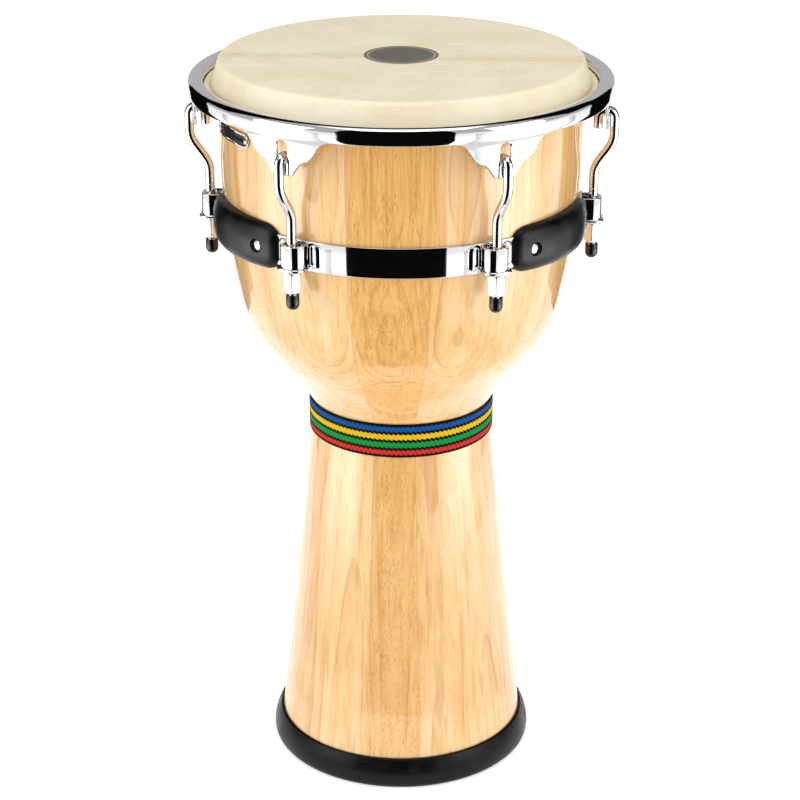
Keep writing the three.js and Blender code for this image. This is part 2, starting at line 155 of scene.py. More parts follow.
def smooth(points, steps=8):
    """A curve through points, as a finer list of points (Catmull-Rom)."""
    knots = [np.array(point, float) for point in points]
    knots = [2 * knots[0] - knots[1]] + knots + [2 * knots[-1] - knots[-2]]
    curve = []
    for a, b, c, d in zip(knots, knots[1:], knots[2:], knots[3:]):
        for i in range(steps):
            t = i / steps
            square = 2 * a - 5 * b + 4 * c - d
            cube = 3 * b - a - 3 * c + d
            curve.append(0.5 * (2 * b + (c - a) * t + square * t**2 + cube * t**3))
    return curve + [knots[-2]]


def filleted(corners, steps=4):
    """A closed outline whose corners, given as (x, y, radius), are rounded off."""
    outline = []
    for i, (x, y, radius) in enumerate(corners):
        corner = Vector((x, y))
        to_last = (Vector(corners[i - 1][:2]) - corner).normalized()
        to_next = (Vector(corners[(i + 1) % len(corners)][:2]) - corner).normalized()
        half = to_last.angle(to_next) / 2
        centre = corner + (to_last + to_next).normalized() * (radius / sin(half))
        start = corner + to_last * (radius / tan(half)) - centre
        end = corner + to_next * (radius / tan(half)) - centre
        first = atan2(start.y, start.x)
        sweep = (atan2(end.y, end.x) - first + pi) % (2 * pi) - pi
        for k in range(steps + 1):
            turn = first + sweep * k / steps
            outline.append((centre.x + radius * cos(turn), centre.y + radius * sin(turn)))
    return outline


def stadium(half_length, half_height, inset, per_end=24, per_side=32):
    """A slot-shaped outline, moved inwards by an inset: at the full half height it is a line."""
    straight = half_length - half_height
    radius = half_height - inset
    outline = []
    for side in (1, -1):
        for i in range(per_end):
            turn = pi * (i / per_end - 0.5)
            x = straight + radius * cos(turn)
            outline.append((side * x, side * radius * sin(turn)))
        for i in range(per_side):
            outline.append((side * straight * (1 - 2 * i / per_side), side * radius))
    return outline


def arc(centre, radii, first, last, steps):
    """Points on an ellipse from one angle to another, in degrees."""
    turns = [radians(first + (last - first) * i / steps) for i in range(steps + 1)]
    return [(centre[0] + radii[0] * cos(t), centre[1] + radii[1] * sin(t)) for t in turns]


def rounded_box(x, y, half_wide, half_high, corner, steps=6):
    """A rectangle with round corners, given by its centre and half sizes."""
    outline = []
    for across, up, first in [(1, -1, -90), (1, 1, 0), (-1, 1, 90), (-1, -1, 180)]:
        centre = (x + across * (half_wide - corner), y + up * (half_high - corner))
        outline += arc(centre, (corner, corner), first, first + 90, steps)
    return outline


def polar(radius, turn, z):
    """A point at an azimuth, in radians."""
    return (radius * sin(turn), -radius * cos(turn), z)


def wrapped(radius, x, z):
    """A point of the front view, moved straight back or ahead on to an upright cylinder."""
    return (x, -sqrt(radius**2 - x**2), z)


def full_turn(steps):
    return [2 * pi * i / steps for i in range(steps)]


def value_at(curve, place):
    """Reads a curve of (place, value)."""
    return float(np.interp(place, curve[:, 0], curve[:, 1]))


# ---- solid shapes

class Shape:
    """A closed surface: its points in millimetres, and its faces."""

    def __init__(self, points, faces):
        self.points = np.array(points, float)
        self.faces = [tuple(face) for face in faces]

    def __add__(self, other):
        count = len(self.points)
        moved = [tuple(i + count for i in face) for face in other.faces]
        return Shape(np.vstack([self.points, other.points]), self.faces + moved)

    def turned(self, azimuth):
        """The shape turned about the drum's axis."""
        turn = radians(azimuth)
        x, y, z = self.points.T
        across = x * cos(turn) - y * sin(turn)
        along = x * sin(turn) + y * cos(turn)
        return Shape(np.stack([across, along, z], axis=1), self.faces)

    def ahead(self, distance):
        """The shape moved from the drum's axis towards the front."""
        return Shape(self.points - (0, distance, 0), self.faces)

    def facing_out(self, height):
        """A shape drawn up the Z axis, laid so that it points away from the drum's axis."""
        x, y, z = self.points.T
        return Shape(np.stack([x, -z, height + y], axis=1), self.faces)


def loft(rings, joined=False):
    """A surface through rings of points, with caps on its ends or its ends joined together."""
    count = len(rings[0])
    points = [point for ring in rings for point in ring]
    spans = len(rings) if joined else len(rings) - 1
    faces = []
    for i in range(spans):
        here = i * count
        there = (i + 1) % len(rings) * count
        for j in range(count):
            k = (j + 1) % count
            faces.append((here + j, here + k, there + k, there + j))
    if not joined:
        faces.append(range(count))
        faces.append(range(spans * count, (spans + 1) * count))
    return Shape(points, faces)


def lathe(profile, segments=FINE):
    """A profile of (radius, height) turned about Z, closed on the axis or on itself."""
    rings = [[polar(radius, turn, z) for turn in full_turn(segments)] for radius, z in profile]
    return loft(rings, joined=profile[0][0] > 0)


def prism(outline_at, low, high, edge, steps=4):
    """An upright prism with rounded edges. outline_at(inset) gives its outline, moved inwards."""
    turns = [pi / 2 * i / steps for i in range(steps + 1)]
    levels = [(edge * (1 - sin(t)), low + edge * (1 - cos(t))) for t in turns]
    levels += [(edge * (1 - cos(t)), high - edge * (1 - sin(t))) for t in turns]
    return loft([[(x, y, z) for x, y in outline_at(inset)] for inset, z in levels])


def mesh_of(name, shape):
    mesh = bpy.data.meshes.new(name)
    mesh.from_pydata((shape.points * MM).tolist(), [], shape.faces)
    work = bmesh.new()
    work.from_mesh(mesh)
    bmesh.ops.remove_doubles(work, verts=work.verts, dist=WELD)
    bmesh.ops.recalc_face_normals(work, faces=work.faces)
    work.to_mesh(mesh)
    work.free()
    return mesh


def put(name, data):
    """Puts a new object in the scene."""
    made = bpy.data.objects.new(name, data)
    bpy.context.collection.objects.link(made)
    return made


def combined(first, operation, second):
    """Two shapes cut or joined. The operation is DIFFERENCE or UNION."""
    holders = [put("work", mesh_of("work", shape)) for shape in (first, second)]
    modifier = holders[0].modifiers.new("cut", "BOOLEAN")
    modifier.operation = operation
    modifier.solver = "EXACT"
    modifier.object = holders[1]
    result = holders[0].evaluated_get(bpy.context.evaluated_depsgraph_get()).to_mesh()
    points = np.array([vertex.co[:] for vertex in result.vertices]) / MM
    faces = [tuple(face.vertices) for face in result.polygons]
    for holder in holders:
        mesh = holder.data
        bpy.data.objects.remove(holder)
        bpy.data.meshes.remove(mesh)
    return Shape(points, faces)


def place(name, shape, material, body, slot, *nodes, sharp=38):
    """Makes a visible piece that stands for CAD nodes, and rides on a body if it has only one."""
    mesh = mesh_of(name, shape)
    mesh.materials.append(material)
    mesh.shade_smooth()
    mesh.set_sharp_from_angle(angle=radians(sharp))
    piece = put(name, mesh)
    if body:
        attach(piece, body)
    for node in nodes:
        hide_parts(node)
    return piece


def repaint(piece, material, chosen):
    """Gives a second material to the faces for which chosen(face, radius) is true."""
    piece.data.materials.append(material)
    for face in piece.data.polygons:
        if chosen(face, hypot(face.center.x, face.center.y) / MM):
            face.material_index = 1


# ---- node materials

def paint(red, green, blue):
    """A colour given as it looks, 0 to 255, in the renderer's linear values."""
    channels = [value / 255 for value in (red, green, blue)]
    linear = [c / 12.92 if c <= 0.04045 else ((c + 0.055) / 1.055) ** 2.4 for c in channels]
    return (*linear, 1)


def arithmetic(operation):
    return lambda field, other: field.graph.math(operation, field, other)


class Field:
    """A value that varies over a surface: a node's output, with arithmetic."""

    def __init__(self, graph, socket):
        self.graph = graph
        self.socket = socket

    __add__ = __radd__ = arithmetic("ADD")
    __sub__ = arithmetic("SUBTRACT")
    __mul__ = arithmetic("MULTIPLY")
    __truediv__ = arithmetic("DIVIDE")

    def __rsub__(self, other):
        return self.graph.math("SUBTRACT", other, self)


class Graph:
    """A node material that ends in one Principled shader. Its coordinates are millimetres."""

    def __init__(self, name, **settings):
        self.material = bpy.data.materials.new(name)
        self.material.use_nodes = True
        self.tree = self.material.node_tree
        self.shader = self.tree.nodes["Principled BSDF"]
        self.finish(**settings)

    def feed(self, socket, value):
        if isinstance(value, Field):
            self.tree.links.new(value.socket, socket)
        else:
            socket.default_value = value

    def node(self, kind, inputs, output=0, **settings):
        made = self.tree.nodes.new("ShaderNode" + kind)
        for name, value in settings.items():
            setattr(made, name, value)
        for key, value in inputs.items():
            self.feed(made.inputs[key], value)
        return Field(self, made.outputs[output])

    def math(self, operation, *values):
        return self.node("Math", dict(enumerate(values)), operation=operation)

    def place(self):
        """The point on the piece, in millimetres, as three fields."""
        point = self.tree.nodes.new("ShaderNodeTexCoord").outputs["Object"]
        parts = self.tree.nodes.new("ShaderNodeSeparateXYZ")
        self.tree.links.new(point, parts.inputs[0])
        return [Field(self, parts.outputs[i]) * (1 / MM) for i in range(3)]

    def vector(self, x, y, z):
        return self.node("CombineXYZ", {0: x, 1: y, 2: z})

    def noise(self, vector, scale=1.0, detail=2.0, roughness=0.5):
        inputs = {"Vector": vector, "Scale": scale, "Detail": detail, "Roughness": roughness}
        return self.node("TexNoise", inputs)

    def cells(self, vector, scale=1.0):
        """The distance to the nearest of many scattered points."""
        return self.node("TexVoronoi", {"Vector": vector, "Scale": scale})

    def step(self, value, low, high, start=0.0, end=1.0):
        """Goes smoothly from start to end as the value goes from low to high."""
        inputs = {"Value": value, "From Min": low, "From Max": high, "To Min": start, "To Max": end}
        return self.node("MapRange", inputs, interpolation_type="SMOOTHSTEP")

    def mix(self, factor, first, second):
        """A colour between two colours."""
        return self.node("Mix", {0: factor, 6: first, 7: second}, output=2, data_type="RGBA")

    def bump(self, height, depth, strength):
        """Raises the surface by a field, times a depth in millimetres."""
        normal = self.node("Bump", {"Height": height, "Distance": depth * MM, "Strength": strength})
        self.feed(self.shader.inputs["Normal"], normal)

    def finish(self, **fields):
        for socket, field in fields.items():
            self.feed(self.shader.inputs[socket.replace("_", " ")], field)
        return self.material


BOWL_FLARE = 370  # height where the bowl starts to widen quickly
BOWL_HEIGHT = 135  # of the part above it whose staves lean
LEG_FLARE = 300  # height below which the leg widens
STAVE_FACE = 138  # usual distance of a stave's face from the axis


def wood(name, **settings):
    """Pale staves glued edge to edge, each a plank with its own growth rings and pores."""
    g = Graph(name, **settings)
    x, y, z = g.place()
    radius = g.math("SQRT", x * x + y * y)
    azimuth = g.math("ARCTAN2", x, y * -1)
    place_around = (azimuth - SEAM) / STAVE
    index = g.math("FLOOR", place_around)
    stave = g.math("FLOORED_MODULO", index, STAVES)
    off_middle = azimuth - ((index + 0.5) * STAVE + SEAM)
    across = radius * g.math("SINE", off_middle)
    depth = radius * g.math("COSINE", off_middle)

    def pick(step):
        """A number from 0 to 1 of each stave's own. The front stave's is 0."""
        return g.math("FRACT", stave * step)

    def plank(fine, shift, lengthwise):
        """A place in the stave's own plank: how fine it is across and along the grain."""
        return g.vector(across * fine, depth * fine + stave * shift, z * lengthwise)

    # Growth rings round each plank's own pith, which leans where the bowl and the leg widen.
    sway = g.noise(plank(0.022, 7.3, 0.005), detail=3) - 0.5
    side = across + pick(0.57) * 30 - pick(0.29) * 26 + sway * 15
    above = g.math("MINIMUM", g.math("MAXIMUM", z - BOWL_FLARE, 0.0), BOWL_HEIGHT)
    below = g.math("MINIMUM", z - LEG_FLARE, 0.0)
    lean = above * (0.25 - pick(0.37) * 0.12) + below * (pick(0.37) * 0.03 - 0.115)
    pith = 50 + pick(0.73) * 34 + lean - (depth - STAVE_FACE)
    from_pith = g.math("SQRT", side * side + pith * pith)
    phase = g.math("FRACT", from_pith / (2.9 + pick(0.83) * 1.3) + sway * 0.9)
    clear = g.step(phase, 1.0, 0.97) * g.step(from_pith, 5.0, 22.0, 0.1, 1.0)
    late = g.step(phase, 0.35, 0.96) * clear
    thin = g.step(phase, 0.84, 0.95) * clear

    # Fibres, streaks and patches, and the open pores of the darker staves.
    along = g.vector(across * 1.5, depth * 1.5, z * 0.05 + stave * 11)
    fibre = g.noise(along, detail=4, roughness=0.65)
    strand = g.noise(plank(0.34, 3.1, 0.01), detail=3)
    pink = g.noise(plank(0.07, 2.3, 0.003))
    vein = g.noise(plank(0.2, 3.7, 0.0028))
    fade = g.step(g.noise(plank(0.03, 5.7, 0.015)), 0.35, 0.62)
    dense = g.step(g.noise(plank(0.12, 1, 0.02)), 0.36, 0.66)
    open_grain = g.step(pick(0.45), 0.5, 0.05, 0.35, 1.0)
    pores = g.step(g.cells(plank(1.05, 4.4, 0.11)), 0.36, 0.16) * dense * open_grain
    to_seam = g.math("ABSOLUTE", place_around - g.math("ROUND", place_around)) * radius * STAVE
    seam = g.step(to_seam, 0.3, 0.08)

    tone = g.step(pick(0.45), -0.4, 0.8)
    rosy = g.step(pink, 0.4, 0.66) * g.step(pick(0.45), 0.05, 0.5)
    leg = g.step(z, 330, 230)
    pale = g.mix(tone, paint(239, 188, 106), paint(244, 203, 133))
    deep = g.mix(tone, paint(214, 152, 72), paint(226, 170, 96))
    body = g.mix(g.step(fibre, 0.36, 0.68) * 0.6 + g.step(strand, 0.42, 0.7) * 0.7, pale, deep)
    blush = g.mix(rosy * 0.7, body, paint(249, 213, 164))
    # Towards the leg the wood is mixed paler, by height alone.
    paler_below_waist = g.mix(leg * 0.3, blush, paint(250, 211, 154))
    streaked = g.mix(g.step(vein, 0.55, 0.68) * leg * 0.6, paler_below_waist, paint(224, 160, 86))
    flush = g.mix(fade * 0.3, streaked, paint(238, 182, 116))
    ringed = g.mix(late * (0.06 + fade * 0.22), flush, paint(200, 138, 66))
    lined = g.mix(thin * (0.08 + fade * 0.24), ringed, paint(180, 112, 40))
    pored = g.mix(pores * 0.75, lined, paint(158, 98, 40))
    glued = g.mix(seam * 0.4, pored, paint(158, 108, 60))

    g.bump(pores * -1 + fibre * 0.25 - seam * 0.6, 0.05, strength=0.5)
    return g.finish(Base_Color=glued, Roughness=g.step(fibre, 0.2, 0.9, 0.26, 0.38))


def chrome():
    """Polished plate: a mirror, with faint wiping marks and a little waviness."""
    g = Graph("chrome_plate", Metallic=1.0)
    x, y, z = g.place()
    point = g.vector(x, y, z)
    wipe = g.noise(g.vector(x * 0.5, y * 0.5, z * 0.05), detail=3)
    cloud = g.noise(point, scale=0.03)
    tint = g.mix(cloud, paint(220, 221, 223), paint(232, 233, 234))
    g.bump(g.noise(point, scale=0.12, detail=1), 0.02, strength=0.25)
    return g.finish(Base_Color=tint, Roughness=g.step(wipe, 0.35, 0.8, 0.03, 0.075))


def steel(name, bright, dull, rough):
    """Plain drawn or plated steel, with lines along it and small stains."""
    g = Graph(name, Metallic=1.0)
    x, y, z = g.place()
    lines = g.noise(g.vector(x * 0.4, y * 0.4, z * 5), detail=3)
    stain = g.noise(g.vector(x, y, z), scale=0.25, detail=4)
    tint = g.mix(g.step(stain, 0.35, 0.7), bright, dull)
    g.bump(lines, 0.02, strength=0.4)
    return g.finish(Base_Color=tint, Roughness=g.step(lines, 0.3, 0.7, rough, rough + 0.15))


def rubber(name, **settings):
    """Satin moulded rubber with a fine grain and a bloom of dust."""
    g = Graph(name, **settings)
    point = g.vector(*g.place())
    grain = g.noise(point, scale=1.8, detail=4, roughness=0.6)
    bloom = g.noise(point, scale=0.07, detail=4)
    tint = g.mix(g.step(bloom, 0.35, 0.75), paint(5, 5, 5), paint(16, 16, 15))
    g.bump(grain, 0.05, strength=0.4)
    return g.finish(Base_Color=tint, Roughness=g.step(bloom, 0.3, 0.7, 0.26, 0.42))


def cap_rubber():
    """Smooth dark rubber of the caps: glossy, with faint mould lines."""
    g = Graph("cap_rubber", Specular_IOR_Level=0.6)
    point = g.vector(*g.place())
    haze = g.noise(point, scale=0.4, detail=3)
    tint = g.mix(haze, paint(4, 4, 5), paint(13, 13, 14))
    g.bump(g.noise(point, scale=1.2), 0.02, strength=0.4)
    return g.finish(Base_Color=tint, Roughness=g.step(haze, 0.3, 0.7, 0.12, 0.24))


def goatskin():
    """Shaved goatskin: cream, mottled, with the hide's backbone line and a printed plain disc."""
    g = Graph("goatskin")
    x, y, z = g.place()
    point = g.vector(x, y, z)
    radius = g.math("SQRT", x * x + y * y)
    mottle = g.noise(point, scale=0.022, detail=5, roughness=0.6)
    speck = g.noise(point, scale=0.35, detail=4, roughness=0.7)
    wander = g.noise(g.vector(x * 0.018, y * 0.004, 2.5), detail=3) - 0.5
    off_spine = g.math("ABSOLUTE", y + 6 + wander * 26)
    broken = g.noise(g.vector(x * 0.05, y * 0.25, 7), detail=4)
    spine = g.step(off_spine, 17, 1) * g.step(broken, 0.3, 0.7)
    hair = g.cells(g.vector(x * 0.8, y * 1.4, z * 0.8))
    pores = g.step(hair, 0.22, 0.08) * g.step(mottle, 0.4, 0.65)

    cream = g.mix(g.step(mottle, 0.32, 0.70), paint(252, 243, 216), paint(244, 230, 197))
    specked = g.mix(g.step(speck, 0.45, 0.8) * 0.3, cream, paint(218, 196, 160))
    spined = g.mix(spine * 0.5, specked, paint(214, 178, 124))
    follicles = g.mix(pores * 0.35, spined, paint(170, 138, 100))
    collar = g.mix(g.step(mottle, 0.35, 0.7), paint(252, 242, 216), paint(246, 233, 204))
    # Painted shade in the crease at the collar's foot, just above the tucked edge.
    painted_fold_shade = g.step(g.math("ABSOLUTE", z - 608.2), 1.3, 0.5)
    collar_with_fold_shade = g.mix(painted_fold_shade * 0.4, collar, paint(196, 168, 122))
    hide = g.mix(g.step(z, 612, 624), collar_with_fold_shade, follicles)

    smudge = g.noise(point, scale=0.5, detail=5, roughness=0.7)
    disc = g.step(radius + smudge * 0.6, 31.3, 30.9) * g.step(smudge, 0.16, 0.34, 0.8, 1.0)
    ring = g.step(g.math("ABSOLUTE", radius - 27.6), 0.75, 0.45)
    ink = g.mix(ring * 0.75, paint(78, 74, 66), paint(206, 194, 170))
    printed = g.mix(disc * 0.92, hide, ink)

    g.bump(speck + pores * -0.8 + mottle * 0.5, 0.12, strength=0.5)
    return g.finish(Base_Color=printed, Roughness=g.step(mottle, 0.3, 0.7, 0.42, 0.58))


WEBBING_TEETH = 124  # steps of the twill around the waist
BLACK_YARN = paint(8, 8, 9)
WEBBING_STRIPES = [  # where each stripe starts and ends, as shares of the height, and its colour
    (0.085, 0.215, paint(222, 48, 38)),
    (0.300, 0.455, paint(6, 156, 68)),
    (0.540, 0.695, paint(240, 198, 30)),
    (0.780, 0.920, paint(0, 88, 164)),
]


def webbing():
    """Woven stripes whose borders step along with the twill, with painted shade between threads."""
    g = Graph("striped_webbing", Specular_IOR_Level=0.12, Sheen_Weight=0.04, Sheen_Roughness=0.5)
    x, y, z = g.place()
    around = g.math("ARCTAN2", x, y * -1) / (2 * pi) + 0.5
    tooth = g.math("FRACT", around * WEBBING_TEETH)
    share = (z - WAIST_LOW) / (WAIST_HIGH - WAIST_LOW)
    inside = g.step(share, 0.03, 0.07) * g.step(share, 0.97, 0.93)
    shifted = share + (tooth - 0.5) * 0.05 * inside
    colour = BLACK_YARN
    for start, end, tint in WEBBING_STRIPES:
        colour = g.mix(g.step(shifted, start - 0.004, start + 0.004), colour, tint)
        colour = g.mix(g.step(shifted, end - 0.004, end + 0.004), colour, BLACK_YARN)
    # Painted shade between the threads, times a random yarn tone, darkens the stripes.
    thread = g.math("FRACT", around * WEBBING_TEETH * 4 + share * 16)
    groove = g.step(thread, 0.0, 0.22, 0.55, 1.0) * g.step(thread, 1.0, 0.78, 0.55, 1.0)
    fuzz = g.noise(g.vector(x, y, z), scale=3.5, detail=3)
    shade = groove * g.step(fuzz, 0.25, 0.75, 0.78, 1.06)
    inputs = {0: 1.0, 6: colour, 7: g.vector(shade, shade, shade)}
    stripes_with_painted_shade = g.node("Mix", inputs, output=2, data_type="RGBA", blend_type="MULTIPLY")
    g.bump(fuzz, 0.08, strength=0.6)
    return g.finish(Base_Color=stripes_with_painted_shade, Roughness=g.step(fuzz, 0.3, 0.7, 0.7, 0.9))


def enamel():
    """Dark enamel of the badge, a little clouded."""
    g = Graph("badge_enamel", Specular_IOR_Level=0.3)
    cloud = g.noise(g.vector(*g.place()), scale=0.3, detail=4)
    tint = g.mix(g.step(cloud, 0.35, 0.7), paint(10, 14, 24), paint(22, 30, 40))
    g.bump(cloud, 0.02, strength=0.3)
    return g.finish(Base_Color=tint, Roughness=g.step(cloud, 0.3, 0.7, 0.2, 0.32))


LACQUERED = wood("lacquered_staves", Coat_Weight=1.0, Coat_Roughness=0.04)
BARE_WOOD = wood("bare_staves", Specular_IOR_Level=0.2)
CHROME = chrome()
WIRE = steel("drawn_wire", paint(196, 196, 198), paint(150, 148, 146), 0.3)
ZINC = steel("zinc_plate", paint(206, 206, 208), paint(168, 168, 166), 0.25)
RUBBER = rubber("moulded_rubber", Specular_IOR_Level=0.3)
RING_RUBBER = rubber("ring_rubber", Specular_IOR_Level=0.2)
CAP_RUBBER = cap_rubber()
GOATSKIN = goatskin()
WEBBING = webbing()
ENAMEL = enamel()


# ---- shell, base ring and webbing

def leg_radius(z):
    return 110.5 - 0.1164 * z + 3.39e-5 * z * z


WAIST_AND_BOWL = [  # (radius, height)
    (78.3, 302), (77.4, 317), (78.2, 330), (79.9, 334), (82.7, 339), (89.8, 350), (101.8, 365),
    (115, 380), (127.5, 399), (135, 419), (139.6, 440), (143.5, 460), (146.9, 479),
    (148.9, 497), (149.6, 514), (151.2, 555), (150.9, 590), (149.4, 614),
]
LEG = [(leg_radius(z), z) for z in np.linspace(FOOT, 285, 16)]
SHELL_OUTSIDE = smooth(LEG + WAIST_AND_BOWL, 5)
SHELL_RADII = np.array(SHELL_OUTSIDE)[:, ::-1]  # (height, radius)


def offset(curve, distance):
    """A curve of (radius, height) that runs upwards, moved towards the axis."""
    moved = []
    for i, point in enumerate(curve):
        before = curve[max(i - 1, 0)]
        after = curve[min(i + 1, len(curve) - 1)]
        along = (after - before) / np.linalg.norm(after - before)
        moved.append(point + distance * np.array([-along[1], along[0]]))
    return moved


def shell():
    inside = [p for p in offset(SHELL_OUTSIDE, WALL) if FOOT + 2 < p[1] < 616][::-1]
    edge = [(149.4, 614), (149.1, 619), (148, 622.5), (146.2, 625.4), (143.4, BEARING_EDGE)]
    corner = [(141.5, BEARING_EDGE), (140.6, 626.1), (inside[0][0], 622)]
    foot = [(leg_radius(FOOT) - WALL, FOOT + 1), (leg_radius(FOOT) - WALL + 1, FOOT)]
    profile = [*SHELL_OUTSIDE, *smooth(edge, 4)[1:], *corner, *inside, *foot]
    piece = place("wooden_shell", lathe(profile), LACQUERED, "drum", "wood", "shell")

    def within(face, radius):
        return radius < value_at(SHELL_RADII, face.center.z / MM) - 4

    repaint(piece, BARE_WOOD, within)


def base_ring():
    outside = smooth(
        [
            (110, 0), (112.6, 0.7), (114.6, 2.8), (115.5, 6.4), (115.2, 12), (113.9, 17),
            (112.2, 21.5), (110.6, 24.6), (109.6, 26.2), (leg_radius(RING_TOP) + 0.9, RING_TOP),
        ],
        5,
    )
    inner = leg_radius(RING_TOP) + 0.1
    seat = FOOT - 0.35
    inside = [
        (inner, RING_TOP - 0.6), (leg_radius(FOOT) + 0.35, seat), (92.6, seat),
        (92, seat - 0.6), (92, 0.8), (92.8, 0),
    ]
    shape = lathe([*outside, *inside])
    place("rubber_base_ring", shape, RING_RUBBER, "drum", "rubber", "base_ring")


def waist_band():
    """Webbing with its twill raised as real ridges and with rounded selvedges."""
    turns = full_turn(1240)
    rows = 44
    width = WAIST_HIGH - WAIST_LOW
    inner = WAIST_RADIUS - 1.2
    rings = [[polar(inner, t, z) for t in turns] for z in (WAIST_HIGH - 0.4, WAIST_LOW + 0.4)]
    for k in range(rows + 1):
        share = k / rows
        roundness = 0.55 * exp(-min(share, 1 - share) * width / 0.5)
        ring = []
        for t in turns:
            thread = t / (2 * pi) * WEBBING_TEETH * 2 + share * 12
            ridge = 0.10 * (1 - cos(2 * pi * thread))
            ring.append(polar(WAIST_RADIUS - roundness - ridge, t, WAIST_LOW + width * share))
        rings.append(ring)
    shape = loft(rings, joined=True)
    place("striped_webbing", shape, WEBBING, "drum", "webbing", "waist_band", sharp=80)


# ---- lug band, brackets, washers and nuts

def lug_band():
    inner = BAND_OUTER - 1.6
    corners = [
        (inner, BAND_LOW, 0.3), (BAND_OUTER, BAND_LOW, 0.75),
        (BAND_OUTER, BAND_HIGH, 0.75), (inner, BAND_HIGH, 0.3),
    ]
    place("chromed_lug_band", lathe(filleted(corners), 360), CHROME, "drum", "chrome", "lug_band")


def bead(side, grown=0.0):
    """A rounded foot of a bracket, hugging the band at one side of the channel."""
    half_wide = 5 + grown
    half_tall = 10.5 + grown
    thick = 2.2 + grown
    sections = [(0, -0.9 if grown else 0.0)]
    for turn in np.linspace(0.25, pi / 2, 9):
        sections.append((half_wide * (1 - cos(turn)), thick * sin(turn)))
    rings = []
    for inset, rise in sections:
        outline = stadium(half_tall, half_wide, inset, 10, 10)
        radius = BRACKET_BACK + rise
        middle = side * BEAD_OFFSET
        rings.append([wrapped(radius, middle + x, BEAD_MIDDLE + z) for z, x in outline])
    return loft(rings)


def lug_bracket():
    """A channel open to the band, with a floor that juts out as a lip, and a foot on each side."""
    middle = (BRACKET_BACK + BRACKET_OUTER) / 2
    half_deep = (BRACKET_OUTER - BRACKET_BACK) / 2
    floor = BRACKET_BOTTOM
    floor_top = BRACKET_BOTTOM + BRACKET_FLOOR

    def outer(inset):
        box = (BRACKET_HALF - inset, half_deep + 4 - inset, BRACKET_CORNER - inset)
        return rounded_box(0, -middle + 4, *box, 9)

    def hollow(inset):
        box = (BRACKET_HOLLOW + inset, half_deep + 7.5 + inset, 6 + inset)
        return rounded_box(0, -middle + 10, *box, 9)

    def lip(inset):
        return rounded_box(0, -159.7, 12 - inset, 10.5 - inset, 8 - inset, 9)

    def behind(inset):
        return rounded_box(0, 20 - BRACKET_BACK, 40 - inset, 20 - inset, 1 - inset)

    channel = prism(outer, floor + 1, BRACKET_TOP, 0.7)
    levels = [(floor_top, -1.6), (floor_top + 0.7, -0.5), (floor_top + 1.7, 0)]
    levels += [(BRACKET_TOP - 0.8, 0), (BRACKET_TOP - 0.3, 0.22), (BRACKET_TOP + 0.1, 0.8)]
    bore = loft([[(x, y, z) for x, y in hollow(grown)] for z, grown in levels])
    rod_hole = lathe(
        [
            (0, floor - 1), (5.2, floor - 1), (4.6, floor + 0.5), (4.6, floor_top - 0.6),
            (5.2, floor_top + 1), (0, floor_top + 1),
        ],
        32,
    )
    shape = combined(channel, "DIFFERENCE", bore)
    shape = combined(shape, "UNION", prism(lip, floor, floor_top, 1.45, steps=6))
    shape = combined(shape, "DIFFERENCE", prism(behind, 470, 530, 0.1, steps=1))
    shape = combined(shape, "DIFFERENCE", rod_hole.ahead(ROD_AXIS))
    for side in (-1, 1):
        shape = combined(shape, "UNION", bead(side))
    return shape


def washer():
    """A thick washer whose side slopes in towards the nut."""
    corners = [
        (4.5, WASHER_BOTTOM, 0.15), (7.4, WASHER_BOTTOM, 0.5),
        (9.25, WASHER_TOP - 0.9, 0.35), (9.25, WASHER_TOP, 0.3), (4.5, WASHER_TOP, 0.15),
    ]
    return lathe(filleted(corners), 64).ahead(ROD_AXIS)


def hexagon_nut(low, high, flats, bore, chamfers):
    """A nut up the Z axis. chamfers is how far its corners are turned off, low and high."""
    turns = full_turn(144)
    corner = flats / sqrt(3)
    low_cut, high_cut = chamfers
    levels = [(low, corner - low_cut), (low + 0.15, corner - low_cut + 0.15)]
    for k in range(1, 7):
        levels.append((low + low_cut * k / 6 * 1.5, corner - low_cut * (1 - k / 6)))
    for k in range(6, -1, -1):
        levels.append((high - high_cut * k / 6 * 1.2, corner - high_cut * (1 - k / 6)))
    hole = [(bore + 0.5, high), (bore, high - 0.6), (bore, low + 0.6), (bore + 0.5, low)]
    rings = [[polar(radius, turn, z) for turn in turns] for radius, z in hole]
    blunt = corner - 0.18
    sides = [flats / 2 / cos((turn + pi / 6) % (pi / 3) - pi / 6) for turn in turns]
    for z, limit in levels:
        widest = min(limit, blunt)
        rings.append([polar(min(side, widest), t, z) for t, side in zip(turns, sides)])
    return loft(rings, joined=True)


# ---- tuning hooks and caps

def bezier(a, b, c, d, steps):
    points = [np.array(p, float) for p in (a, b, c, d)]
    curve = []
    for i in range(steps + 1):
        t = i / steps
        weights = [(1 - t) ** 3, 3 * t * (1 - t) ** 2, 3 * t**2 * (1 - t), t**3]
        curve.append(sum(w * p for w, p in zip(weights, points)))
    return curve


def hook_path():
    """The middle of the hook's rod, as (distance ahead of the axis, height)."""
    threaded = [(ROD_AXIS, z) for z in np.arange(ROD_END + 9, THREAD_TOP + 1, THREAD_PITCH / 6)]
    plain = [(ROD_AXIS, z) for z in np.arange(THREAD_TOP + 1.2, BEND_LOW, 0.5)]
    bend = bezier((ROD_AXIS, BEND_LOW), (ROD_AXIS, 542), (STEM_AXIS, 549), (STEM_AXIS, 563), 26)
    arch_radius = (STEM_AXIS - TIP_AXIS) / 2
    middle = (STEM_AXIS + TIP_AXIS) / 2
    arch = arc((middle, ARCH_CENTRE), (arch_radius, arch_radius), 0, 180, 26)
    tip = [(TIP_AXIS, z) for z in (ARCH_CENTRE - 3, TIP_END + 0.9, TIP_END + 0.35, TIP_END)]
    start = [(ROD_AXIS, ROD_END), (ROD_AXIS, ROD_END + 0.4)]
    return np.array([*start, *threaded, *plain, *bend, (STEM_AXIS, 570), *arch, *tip])


